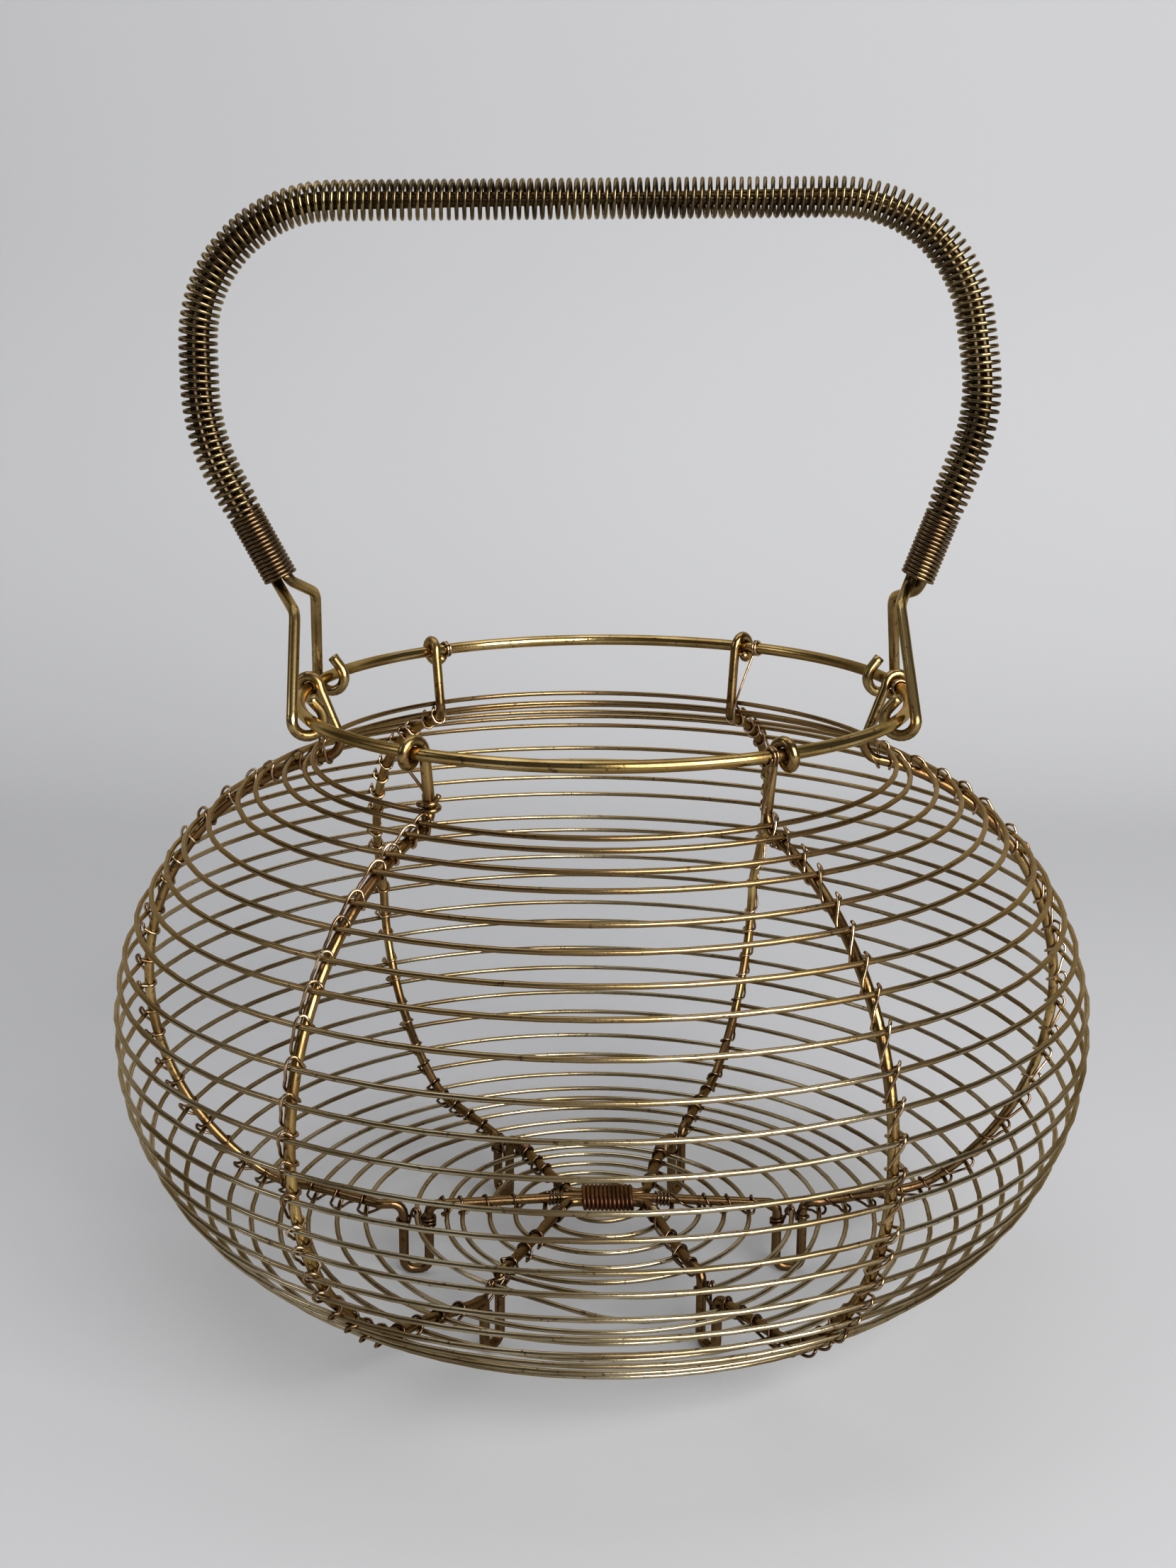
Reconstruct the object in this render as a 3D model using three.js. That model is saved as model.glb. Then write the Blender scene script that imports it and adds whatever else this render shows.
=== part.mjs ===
// A round bellied wire basket for eggs, with a high arched handle wound as a spring grip.
// Millimetres, +Z up, the table at z = 0, the basket's axis on Z, the handle's width along X.
import * as THREE from 'three';

// Rim and body
const rimRadius = 90;
const rimHeight = 187;
const rimWire = 3.6;
const ribWire = 3.1;
const hoopWire = 1.6;
const bindingWire = 0.8;
const clearance = 0.3;
const bellyRadius = 143.85;
const bellyHeight = 91;
const baseFlatShare = 0.651;
const neckBend = 6;
const stubRise = 17.26;
const stubLean = 2;
const sideStubLean = 6;
const baseBend = 30;

// Feet and base
const baseHeight = 23;
const footRadius = 60.5;
const footHalfWidth = 4;
const footBend = 3;
const footRunOut = 2;
const spokeKinkRadius = 50;
const bundleShift = 2;
const bundleBend = 4;

// The hoop wire is one spiral from the base's middle to the neck. It is cut behind the front left rib
// after these turns, counted from the one in the feet, so that each length has its own collision pieces.
const hoopStartRadius = 12;
const hoopBasePitch = 9.8;
const hoopFootTurn = 5;
const hoopFootSlack = 0.8;
const hoopBodyTurns = 27;
const hoopNeckTurns = 1;
const hoopNeckRise = 4.2;
const hoopWraps = 1;
const hoopWrapPitch = 2.1;
const hoopCutTurns = [5, 10, 15, 20, 25];
const hoopCutGap = 0.6;
const stepsPerSector = 4;

// The eyes where each rib hooks round the rim
const eyeTurn = 320;
const eyeLead = 3.6;
const eyeRadius = rimWire / 2 + clearance + ribWire / 2;

// Where each rib stands round the basket, in degrees, at its eye, at the belly and at its foot, how far
// its foot is moved out and its stub leans in, and to which side the eye's tip and the binding's turns lie.
const ribs = {
  right: { eye: 8, belly: 6, foot: -1, shift: 0, lean: sideStubLean, lead: 1, binding: 1 },
  backRight: { eye: 59.6, belly: 67, foot: 64, shift: 0, lean: stubLean, lead: -1, binding: -1 },
  backLeft: { eye: 130, belly: 124, foot: 123, shift: 0, lean: stubLean, lead: -1, binding: -1 },
  left: { eye: 174, belly: 174.5, foot: 185, shift: -2.5, lean: sideStubLean, lead: -1, binding: -1 },
  frontLeft: { eye: 237, belly: 237.3, foot: 239, shift: 0, lean: stubLean, lead: -1, binding: -1 },
  frontRight: { eye: 301, belly: 300.5, foot: 302.5, shift: 0, lean: stubLean, lead: 1, binding: -1 },
};

// Handle
const bailWire = 3.3;
const hookRadius = 4.4;
const hookPlay = 1.6;
const hookTipAngle = 75;
const shoulderBend = 6;
// Where each leg's hook stands on the rim, in degrees, and where its shoulder is bent, above the rim
const legs = {
  frontLeft: { hook: 202, shoulder: [-88.7, -18.3, 26.5] },
  backLeft: { hook: 161.5, shoulder: [-88, 18.3, 27] },
  frontRight: { hook: -22, shoulder: [85.5, -11, 29] },
  backRight: { hook: 17, shoulder: [87.5, 19, 27] },
};
// The arch's corners, as places along X and heights above the rim
const archFootBend = 5;
const archFoot = { left: [-94.6, 32.5], right: [90.6, 32.5] };
const archWaist = { left: [-117.2, 75], right: [109.3, 84.5] };
const archCorner = { left: [-117.2, 140.2], right: [98.9, 143.2] };
const waistBend = { left: 60, right: 50 };
const cornerBend = 40;

// Grip spring and the winding at the base's middle
const gripWire = 1.2;
const gripOpenDiameter = 11.5;
const gripClosedCurls = 12;
const gripOpenCurls = 72;
const gripClosedPitch = 1.65;
const gripFlareCurls = 2;
const gripInset = 3.2;
const bundleWindingWire = 0.9;
const bundleWindingPitch = 1.35;
const bundleWindingTurns = 12;
const bundleWindingSlack = 0.1;

// Binding wires
const bindingRimTurns = 2.5;
const bindingNeckTurns = 1.5;
const bindingPitch = 1.35;
const bindingNeckHeight = 9;
const bindingHoopEndHeight = 10;
const bindingSlack = 0.15;
const bindingEyeSlack = 0.3;
const bindingSteps = 6;

// Facets
const ribSides = 5;
const rimSides = 6;
const rimSteps = 48;
const hoopSides = 4;
const gripSides = 4;
const curlSteps = 8;
const bindingSides = 4;
const windingSides = 5;
const bendStep = 30;
const arcStep = 9;
const archStep = 18;

// How far along a line its direction is measured, in millimetres
const sightLength = 0.2;

const degrees = (angle) => THREE.MathUtils.degToRad(angle);
const polar = (radius, angle, z) =>
  new THREE.Vector3(radius * Math.cos(degrees(angle)), radius * Math.sin(degrees(angle)), z);

// A wire's centreline given point by point, with the direction that its section's first flat faces.
class WireRoute extends THREE.Curve {
  constructor(points, normals) {
    super();
    this.points = points;
    this.normals = normals;
  }

  getPoint(t, target = new THREE.Vector3()) {
    const place = t * (this.points.length - 1);
    const index = Math.min(Math.floor(place + 1e-6), this.points.length - 2);
    return target.lerpVectors(this.points[index], this.points[index + 1], place - index);
  }

  getPointAt(u, target) {
    return this.getPoint(u, target);
  }

  computeFrenetFrames(segments) {
    const tangents = [];
    const normals = [];
    const binormals = [];
    for (let index = 0; index <= segments; index++) {
      const tangent = tangentAt(this.points, index);
      const normal = this.normals[index].clone();
      normal.addScaledVector(tangent, -normal.dot(tangent)).normalize();
      tangents.push(tangent);
      normals.push(normal);
      binormals.push(tangent.clone().cross(normal));
    }
    return { tangents, normals, binormals };
  }
}

function tangentAt(points, index) {
  const before = points[Math.max(index - 1, 0)];
  const after = points[Math.min(index + 1, points.length - 1)];
  const here = points[index];
  const tangent = new THREE.Vector3();
  if (index > 0) tangent.add(here.clone().sub(before).normalize());
  if (index < points.length - 1) tangent.add(after.clone().sub(here).normalize());
  return tangent.normalize();
}

// Carries a section's direction along a wire both ways from one point, without any twist.
function carryNormals(points, startIndex, startNormal) {
  const normals = new Array(points.length);
  normals[startIndex] = startNormal.clone();
  const turn = new THREE.Quaternion();
  const carry = (from, to) => {
    turn.setFromUnitVectors(tangentAt(points, from), tangentAt(points, to));
    normals[to] = normals[from].clone().applyQuaternion(turn);
  };
  for (let index = startIndex; index < points.length - 1; index++) carry(index, index + 1);
  for (let index = startIndex; index > 0; index--) carry(index, index - 1);
  return normals;
}

// A polygon inside the round wire, or one of the same area, with a flat towards the section's first axis.
function wireSection(diameter, sides, sameArea) {
  const swell = sameArea ? Math.sqrt((2 * Math.PI) / (sides * Math.sin((2 * Math.PI) / sides))) : 1;
  const corners = [];
  for (let corner = 0; corner < sides; corner++) {
    const angle = ((corner + 0.5) * 2 * Math.PI) / sides;
    const reach = (diameter / 2) * swell;
    corners.push(new THREE.Vector2(reach * Math.cos(angle), reach * Math.sin(angle)));
  }
  return new THREE.Shape(corners);
}

function bendWire({ points, normals }, diameter, sides, sameArea = false) {
  return new THREE.ExtrudeGeometry(wireSection(diameter, sides, sameArea), {
    steps: points.length - 1,
    extrudePath: new WireRoute(points, normals),
  });
}

// Prints how near a wound wire comes to itself, between places that lie more than four wires apart along it.
function printLeastGap(name, points, diameter) {
  const lengths = [0];
  for (let index = 1; index < points.length; index++) {
    lengths.push(lengths[index - 1] + points[index].distanceTo(points[index - 1]));
  }
  const nearest = new THREE.Vector3();
  const stretch = new THREE.Line3();
  let least = Infinity;
  for (let from = 0; from < points.length; from++) {
    for (let to = from + 1; to < points.length - 1; to++) {
      if (lengths[to] - lengths[from] < 4 * diameter) continue;
      stretch.set(points[to], points[to + 1]).closestPointToPoint(points[from], true, nearest);
      least = Math.min(least, nearest.distanceTo(points[from]));
    }
  }
  console.log(`${name}: least gap to itself ${(least - diameter).toFixed(2)} mm`);
}

// Points of an arc in a plane, as [across, up] pairs, ends included.
function arcPoints(centre, radius, from, to, step) {
  const count = Math.max(1, Math.round(Math.abs(to - from) / step));
  return Array.from({ length: count + 1 }, (_, index) => {
    const angle = degrees(from + ((to - from) * index) / count);
    return [centre[0] + radius * Math.cos(angle), centre[1] + radius * Math.sin(angle)];
  });
}

// Rounds one corner of a bent wire in space with an arc, and returns the arc's points.
function roundedCorner(before, corner, after, radius, step = bendStep) {
  const back = before.clone().sub(corner).normalize();
  const ahead = after.clone().sub(corner).normalize();
  const halfAngle = back.angleTo(ahead) / 2;
  const middle = back.clone().add(ahead).normalize();
  const centre = corner.clone().addScaledVector(middle, radius / Math.sin(halfAngle));
  const start = corner.clone().addScaledVector(back, radius / Math.tan(halfAngle));
  const spoke = start.clone().sub(centre);
  const axis = back.clone().cross(ahead).normalize().negate();
  const sweep = Math.PI - 2 * halfAngle;
  const count = Math.max(1, Math.round(THREE.MathUtils.radToDeg(sweep) / step));
  return Array.from({ length: count + 1 }, (_, index) =>
    spoke.clone().applyAxisAngle(axis, (sweep * index) / count).add(centre));
}

// The body's section, from the base out and up to the rim: a bend, an arc up to the belly, an arc on
// to the neck and a bend the other way. Each arc's radius follows from what it joins.
const stubRadius = rimRadius - eyeRadius;
const baseBendCentre = [bellyRadius * baseFlatShare, baseHeight + baseBend];
const lowerArcRadius = (() => {
  const drop = bellyHeight - baseBendCentre[1];
  const across = bellyRadius - baseBendCentre[0];
  return (drop ** 2 + across ** 2 - baseBend ** 2) / (2 * (across - baseBend));
})();
const upperArcRadius = (() => {
  const rise = rimHeight - stubRise - bellyHeight;
  const across = bellyRadius - (stubRadius - stubLean + neckBend);
  return (rise ** 2 + across ** 2 - neckBend ** 2) / (2 * (across + neckBend));
})();
const lowerArcCentre = [bellyRadius - lowerArcRadius, bellyHeight];
const upperArcCentre = [bellyRadius - upperArcRadius, bellyHeight];
function neckBendCentre(lean) {
  const across = stubRadius - lean + neckBend - upperArcCentre[0];
  const rise = Math.sqrt((upperArcRadius + neckBend) ** 2 - across ** 2);
  return [stubRadius - lean + neckBend, bellyHeight + rise];
}
const directionTo = (centre, place) =>
  THREE.MathUtils.radToDeg(Math.atan2(place[1] - centre[1], place[0] - centre[0]));
const lowerArcStart = directionTo(lowerArcCentre, baseBendCentre);
const neckHeight = neckBendCentre(stubLean)[1];

// The section as arcs, set off by a distance to its outside.
function bodySection(offset) {
  const neckCentre = neckBendCentre(stubLean);
  const upperArcEnd = directionTo(upperArcCentre, neckCentre);
  const pieces = [
    { centre: baseBendCentre, radius: baseBend + offset, from: -90, to: lowerArcStart },
    { centre: lowerArcCentre, radius: lowerArcRadius + offset, from: lowerArcStart, to: 0 },
    { centre: upperArcCentre, radius: upperArcRadius + offset, from: 0, to: upperArcEnd },
    { centre: neckCentre, radius: neckBend - offset, from: upperArcEnd + 180, to: 180 },
  ];
  for (const piece of pieces) {
    piece.length = (degrees(Math.abs(piece.to - piece.from))) * piece.radius;
  }
  return pieces;
}

// A place on the section at a length from the base's bend, which is below nought on the flat base. Past
// the neck it follows the stubs, which lean out to the rim.
function sectionPoint(pieces, length, offset) {
  if (length <= 0) return [baseBendCentre[0] + length, baseHeight - offset];
  let left = length;
  for (const piece of pieces) {
    if (left <= piece.length) {
      const angle = degrees(piece.from + ((piece.to - piece.from) * left) / piece.length);
      return [
        piece.centre[0] + piece.radius * Math.cos(angle),
        piece.centre[1] + piece.radius * Math.sin(angle),
      ];
    }
    left -= piece.length;
  }
  const lean = (stubLean * left) / (rimHeight - neckHeight);
  return [stubRadius - stubLean + lean + offset, neckHeight + left];
}

// A rib drifts round the basket between its eye and the belly, and along the base to its foot.
const footKinkRadius = footRadius + footHalfWidth + footBend + footRunOut;
function ribAngle(rib, radius, z) {
  const toBelly = (radius - footKinkRadius) / (baseBendCentre[0] - footKinkRadius);
  const toEye = (z - bellyHeight) / (neckHeight - bellyHeight);
  if (z > bellyHeight) return rib.belly + (rib.eye - rib.belly) * Math.min(toEye, 1);
  return rib.foot + (rib.belly - rib.foot) * THREE.MathUtils.clamp(toBelly, 0, 1);
}

// The straight stub between a rib's neck and its eye leans in a little towards its foot.
function stubLine(rib) {
  const foot = polar(stubRadius - rib.lean, rib.eye, neckBendCentre(rib.lean)[1]);
  const slope = polar(stubRadius, rib.eye, rimHeight).sub(foot).normalize();
  return { foot, at: (height) => foot.clone().addScaledVector(slope, height) };
}

// Foot soles are flats of the wire's section, which stands a quarter step askew at the ends of a bend.
const soleHeight = (ribWire / 2) * Math.cos(Math.PI / ribSides) * Math.cos(degrees(bendStep / 4));

// One half of a rib wire, from the middle of its foot out and up to the tip of its eye.
function ribHalf(rib) {
  const outerLeg = footRadius + rib.shift + footHalfWidth;
  const innerLeg = footRadius + rib.shift - footHalfWidth;
  const neckCentre = neckBendCentre(rib.lean);
  const upperArcEnd = directionTo(upperArcCentre, neckCentre);
  const outline = [
    [spokeKinkRadius, baseHeight],
    ...arcPoints([innerLeg - footBend, baseHeight - footBend], footBend, 90, 0, bendStep),
    ...arcPoints([innerLeg + footBend, soleHeight + footBend], footBend, 180, 270, bendStep),
    ...arcPoints([outerLeg - footBend, soleHeight + footBend], footBend, 270, 360, bendStep),
    ...arcPoints([outerLeg + footBend, baseHeight - footBend], footBend, 180, 90, bendStep),
    [footKinkRadius, baseHeight],
    ...arcPoints(baseBendCentre, baseBend, -90, lowerArcStart, arcStep),
    ...arcPoints(lowerArcCentre, lowerArcRadius, lowerArcStart, 0, arcStep).slice(1),
    ...arcPoints(upperArcCentre, upperArcRadius, 0, upperArcEnd, arcStep).slice(1),
    ...arcPoints(neckCentre, neckBend, upperArcEnd + 180, 180, bendStep).slice(1),
  ];
  const points = outline.map(([radius, z]) => polar(radius, ribAngle(rib, radius, z), z));
  const eyeSteps = Math.round(eyeTurn / bendStep);
  const along = polar(1, rib.eye + 90, 0).multiplyScalar(rib.lead * eyeLead);
  for (let step = 0; step <= eyeSteps; step++) {
    const turned = (eyeTurn * step) / eyeSteps;
    const angle = degrees(180 - turned);
    const radius = rimRadius + eyeRadius * Math.cos(angle);
    const point = polar(radius, rib.eye, rimHeight + eyeRadius * Math.sin(angle));
    points.push(point.addScaledVector(along, turned / eyeTurn));
  }
  return points;
}

// A rib wire runs from one eye down the side, through two feet and the bundle, and up to the other eye.
function ribRoute(leftRib, rightRib, bundleY) {
  const left = ribHalf(leftRib);
  const right = ribHalf(rightRib);
  const bundleHalfLength = (bundleWindingPitch * bundleWindingTurns) / 2 + bundleBend;
  const leftTurn = new THREE.Vector3(bundleShift - bundleHalfLength, bundleY, baseHeight);
  const rightTurn = new THREE.Vector3(bundleShift + bundleHalfLength, bundleY, baseHeight);
  const leftCorner = roundedCorner(left[0], leftTurn, rightTurn, bundleBend);
  const rightCorner = roundedCorner(leftTurn, rightTurn, right[0], bundleBend);
  const points = [...left.reverse(), ...leftCorner, ...rightCorner, ...right];
  const middle = left.length + leftCorner.length;
  return { points, normals: carryNormals(points, middle, new THREE.Vector3(0, 0, -1)) };
}

// The hoop wire
const hoopOffset = ribWire / 2 + clearance + hoopWire / 2;
const ribOrder = ['right', 'backRight', 'backLeft', 'left', 'frontLeft', 'frontRight'];
const stepsPerTurn = ribOrder.length * stepsPerSector;
const lastRib = ribOrder.indexOf('frontLeft') * stepsPerSector;

// Where step number index of the spiral stands round the basket: steps fall on the ribs.
function hoopAngle(index, radius, z) {
  const turn = Math.floor(index / stepsPerTurn);
  const inTurn = index - turn * stepsPerTurn;
  const sector = Math.floor(inTurn / stepsPerSector);
  const from = ribAngle(ribs[ribOrder[sector]], radius, z);
  const next = (sector + 1) % ribOrder.length;
  const to = ribAngle(ribs[ribOrder[next]], radius, z) + (next === 0 ? 360 : 0);
  return from + ((to - from) * (inTurn - sector * stepsPerSector)) / stepsPerSector + 360 * turn;
}

// How far a foot's shift carries the spiral's turns with it at each step, from rib to rib.
function carriedShift(index) {
  const sector = Math.floor(index / stepsPerSector);
  const shiftOf = (number) => ribs[ribOrder[THREE.MathUtils.euclideanModulo(number, ribOrder.length)]].shift;
  return THREE.MathUtils.lerp(shiftOf(sector), shiftOf(sector + 1), index / stepsPerSector - sector);
}

// Length along the section at each step. One turn lies in the feet, with a quick step in and out
// between the two front ribs, where there is no foot to hit. The last turn climbs the stubs.
const footGap = footHalfWidth + ribWire / 2 + clearance + hoopWire / 2 + hoopFootSlack;
function hoopLength(index, sectionLength) {
  const footLength = footRadius - baseBendCentre[0] + carriedShift(index);
  const footStart = hoopFootTurn * stepsPerTurn + lastRib;
  const ramp = (step) => THREE.MathUtils.smoothstep(step / stepsPerSector, 0, 1);
  const inFeet = index - footStart;
  if (inFeet <= 0) return footLength - footGap + (hoopBasePitch * inFeet) / stepsPerTurn;
  if (inFeet <= stepsPerTurn) return footLength - footGap * (1 - ramp(inFeet));
  const outStep = inFeet - stepsPerTurn;
  if (outStep <= stepsPerSector) return footLength + footGap * ramp(outStep);
  const bodySteps = hoopBodyTurns * stepsPerTurn - stepsPerTurn - stepsPerSector;
  const share = (outStep - stepsPerSector) / bodySteps;
  if (share > 1) {
    const turnsPastNeck = inFeet / stepsPerTurn - hoopBodyTurns;
    return sectionLength + (hoopNeckRise * turnsPastNeck) / hoopNeckTurns;
  }
  const bodyStart = footRadius - baseBendCentre[0] + footGap;
  return bodyStart + (sectionLength - bodyStart) * share;
}

function hoopRoute() {
  const section = bodySection(hoopOffset);
  const sectionLength = section.reduce((sum, piece) => sum + piece.length, 0);
  const footStart = hoopFootTurn * stepsPerTurn + lastRib;
  const innerReach = footRadius - footGap - hoopStartRadius;
  const first = footStart - Math.round((innerReach / hoopBasePitch) * stepsPerTurn);
  const last = footStart + (hoopBodyTurns + hoopNeckTurns) * stepsPerTurn;
  const points = [];
  const normals = [];
  for (let index = first; index <= last; index++) {
    const length = hoopLength(index, sectionLength);
    const [radius, z] = sectionPoint(section, length, hoopOffset);
    const [nextRadius, nextZ] = sectionPoint(section, length + sightLength, hoopOffset);
    const angle = hoopAngle(index, radius, z);
    points.push(polar(radius, angle, z));
    const outward = new THREE.Vector2(nextZ - z, radius - nextRadius).normalize();
    normals.push(polar(outward.x, angle, outward.y));
  }
  const stub = stubLine(ribs.frontLeft);
  const startHeight = points[points.length - 1].z - stub.foot.z;
  const wrapSteps = Math.round(hoopWraps * curlSteps);
  for (let step = 1; step <= wrapSteps; step++) {
    const angle = ribs.frontLeft.eye + (360 * step) / curlSteps;
    const centre = stub.at(startHeight + (hoopWrapPitch * step) / curlSteps);
    points.push(centre.add(polar(hoopOffset, angle, 0)));
    normals.push(polar(1, angle, 0));
  }
  const cuts = hoopCutTurns.map((turn) => footStart + turn * stepsPerTurn - first);
  return { points, normals, cuts };
}

// Cuts a route at some of its points into lengths whose ends are drawn back from the cut.
function cutRoute({ points, normals, cuts }, gap) {
  const drawnBack = (from, towards) => {
    const way = points[towards].clone().sub(points[from]).setLength(gap / 2);
    return way.add(points[from]);
  };
  const ends = [0, ...cuts, points.length - 1];
  return ends.slice(1).map((end, number) => {
    const start = ends[number];
    const lengthPoints = points.slice(start, end + 1);
    if (number > 0) lengthPoints[0] = drawnBack(start, start + 1);
    if (number < cuts.length) lengthPoints[end - start] = drawnBack(end, end - 1);
    return { points: lengthPoints, normals: normals.slice(start, end + 1) };
  });
}

// The middle's winding lies round the three side by side wires as a flat oval: half turns of five
// points at each side, joined by straight runs above and below.
const bundleSpacing = ribWire + clearance;
function bundleWindingRoute() {
  const reach = ribWire / 2 + clearance + bundleWindingWire / 2 + bundleWindingSlack;
  const halfTurnPoints = 5;
  const points = [];
  const normals = [];
  const turnPoints = 2 * halfTurnPoints;
  const count = bundleWindingTurns * turnPoints;
  for (let step = 0; step < count; step++) {
    const inTurn = step % turnPoints;
    const side = inTurn < halfTurnPoints ? 1 : -1;
    const inHalf = inTurn % halfTurnPoints;
    const angle = side * Math.PI * (inHalf / (halfTurnPoints - 1) - 0.5);
    const outward = new THREE.Vector3(0, side * Math.cos(angle), Math.sin(angle));
    const place = bundleWindingPitch * (step / turnPoints - bundleWindingTurns / 2);
    const core = new THREE.Vector3(bundleShift + place, side * bundleSpacing, baseHeight);
    points.push(core.addScaledVector(outward, reach));
    normals.push(outward);
  }
  return { points, normals };
}

// A binding wire starts with turns round the rim beside a rib's eye, leads down to the rib's stub and
// winds round it. Below that it goes on round every crossing of rib and hoop.
function bindingRoute(rib) {
  const points = [];
  const normals = [];
  const add = (centre, outward, reach) => {
    points.push(centre.clone().addScaledVector(outward, reach));
    normals.push(outward);
  };
  const rimReach = rimWire / 2 + clearance + bindingWire / 2 + bindingSlack;
  const stubReach = ribWire / 2 + clearance + bindingWire / 2 + bindingSlack;
  const besideEye = ribWire / 2 + clearance + bindingWire / 2 + bindingEyeSlack;
  const start = (rib.lead === rib.binding ? eyeLead : 0) + besideEye;
  const rimStepsInAll = Math.round(bindingRimTurns * bindingSteps);
  for (let step = rimStepsInAll; step >= 0; step--) {
    const angle = -Math.PI / 2 + (2 * Math.PI * step) / bindingSteps;
    const shift = rib.binding * (start + (bindingPitch * step) / bindingSteps);
    const turned = rib.eye + THREE.MathUtils.radToDeg(shift / rimRadius);
    add(polar(rimRadius, turned, rimHeight), polar(Math.cos(angle), turned, Math.sin(angle)), rimReach);
  }
  const stub = stubLine(rib);
  const neckStepsInAll = Math.round(bindingNeckTurns * bindingSteps);
  const neckTop = rib === ribs.frontLeft ? bindingHoopEndHeight : bindingNeckHeight;
  for (let step = 0; step <= neckStepsInAll; step++) {
    const angle = rib.eye + rib.binding * (90 - (360 * step) / bindingSteps);
    const height = neckTop - (bindingPitch * step) / bindingSteps;
    add(stub.at(height), polar(1, angle, 0), stubReach);
  }
  return { points, normals };
}

// The handle
const wireSpread = (bailWire + clearance) / 2;
const gripClosedRadius = wireSpread + bailWire / 2 + clearance + gripWire / 2;

// The arch's centreline in the plane y = 0, as points with rounded corners.
function archPoints() {
  const corners = [
    archFoot.left, archWaist.left, archCorner.left,
    archCorner.right, archWaist.right, archFoot.right,
  ].map(([across, rise]) => new THREE.Vector3(across, 0, rimHeight + rise));
  const bends = [waistBend.left, cornerBend, cornerBend, waistBend.right];
  const rounded = bends.map((radius, index) =>
    roundedCorner(corners[index], corners[index + 1], corners[index + 2], radius, archStep));
  return [corners[0], ...rounded.flat(), corners[5]];
}

// A handle wire's leg, from the tip of its hook up to its shoulder and on into the arch's foot.
function legPoints(leg, arch) {
  const topCentre = rimHeight + rimWire / 2 + hookPlay + bailWire / 2 - hookRadius;
  const bottomCentre = rimHeight - rimWire / 2 - hookPlay - bailWire / 2 + hookRadius;
  const hook = [
    ...arcPoints([rimRadius, topCentre], hookRadius, hookTipAngle, 180, bendStep),
    ...arcPoints([rimRadius, bottomCentre], hookRadius, 180, 360, bendStep),
  ].map(([radius, z]) => polar(radius, leg.hook, z));
  const shoulder = new THREE.Vector3(...leg.shoulder).add(new THREE.Vector3(0, 0, rimHeight));
  const shoulderArc = roundedCorner(hook[hook.length - 1], shoulder, arch[0], shoulderBend);
  const footArc = roundedCorner(shoulder, arch[0], arch[1], archFootBend);
  return [...hook, ...shoulderArc, ...footArc];
}

// A handle wire runs from one hook up through the grip spring and down to the other hook.
function bailRoute(leftLeg, rightLeg, depth) {
  const arch = archPoints().map((point) => point.setY(depth * wireSpread));
  const left = legPoints(leftLeg, arch);
  const right = legPoints(rightLeg, [...arch].reverse());
  const points = [...left, ...arch.slice(1, -1), ...right.reverse()];
  const middle = left.length + Math.floor(arch.length / 2);
  return { points, normals: carryNormals(points, middle, new THREE.Vector3(0, 0, 1)) };
}

// The grip spring: closed curls at both ends, open ones between, on the arch's centreline.
function gripRoute() {
  const arch = new THREE.CurvePath();
  const line = archPoints();
  for (let index = 0; index < line.length - 1; index++) {
    arch.add(new THREE.LineCurve3(line[index], line[index + 1]));
  }
  const length = arch.getLength();
  const springLength = length - 2 * gripInset;
  const closedLength = gripClosedCurls * gripClosedPitch;
  const openPitch = (springLength - 2 * closedLength) / gripOpenCurls;
  const curls = 2 * gripClosedCurls + gripOpenCurls;
  const openRadius = (gripOpenDiameter - gripWire) / 2;
  const points = [];
  const normals = [];
  for (let step = 0; step <= curls * curlSteps; step++) {
    const curl = step / curlSteps;
    const fromEnd = Math.min(curl, curls - curl);
    const inOpen = fromEnd - gripClosedCurls;
    const placeFromEnd = inOpen <= 0 ? fromEnd * gripClosedPitch : closedLength + inOpen * openPitch;
    const place = curl <= curls / 2 ? gripInset + placeFromEnd : length - gripInset - placeFromEnd;
    const swell = THREE.MathUtils.smoothstep(inOpen, 0, gripFlareCurls);
    const radius = gripClosedRadius + (openRadius - gripClosedRadius) * swell;
    const centre = arch.getPointAt(place / length);
    const ahead = arch.getPointAt((place + sightLength) / length);
    const behind = arch.getPointAt((place - sightLength) / length);
    const tangent = ahead.sub(behind).normalize();
    const across = new THREE.Vector3(0, 1, 0);
    const outer = across.clone().cross(tangent);
    const angle = 2 * Math.PI * curl;
    const outward = across.clone().multiplyScalar(Math.cos(angle))
      .addScaledVector(outer, Math.sin(angle));
    points.push(centre.addScaledVector(outward, radius));
    normals.push(outward);
  }
  return { points, normals };
}

// Colours of the brass, from bright to dark
const brass = (color, roughness) =>
  new THREE.MeshStandardMaterial({ color, roughness, metalness: 1 });

const group = new THREE.Group();
const basket = new THREE.Group();
const handle = new THREE.Group();
group.add(basket, handle);

function addPiece(parent, name, geometry, material) {
  const mesh = new THREE.Mesh(geometry, material);
  mesh.name = name;
  parent.add(mesh);
  return mesh;
}

function addWoundWire(parent, name, route, diameter, sides, material, sameArea) {
  addPiece(parent, name, bendWire(route, diameter, sides, sameArea), material);
  printLeastGap(name, route.points, diameter);
}

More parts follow.
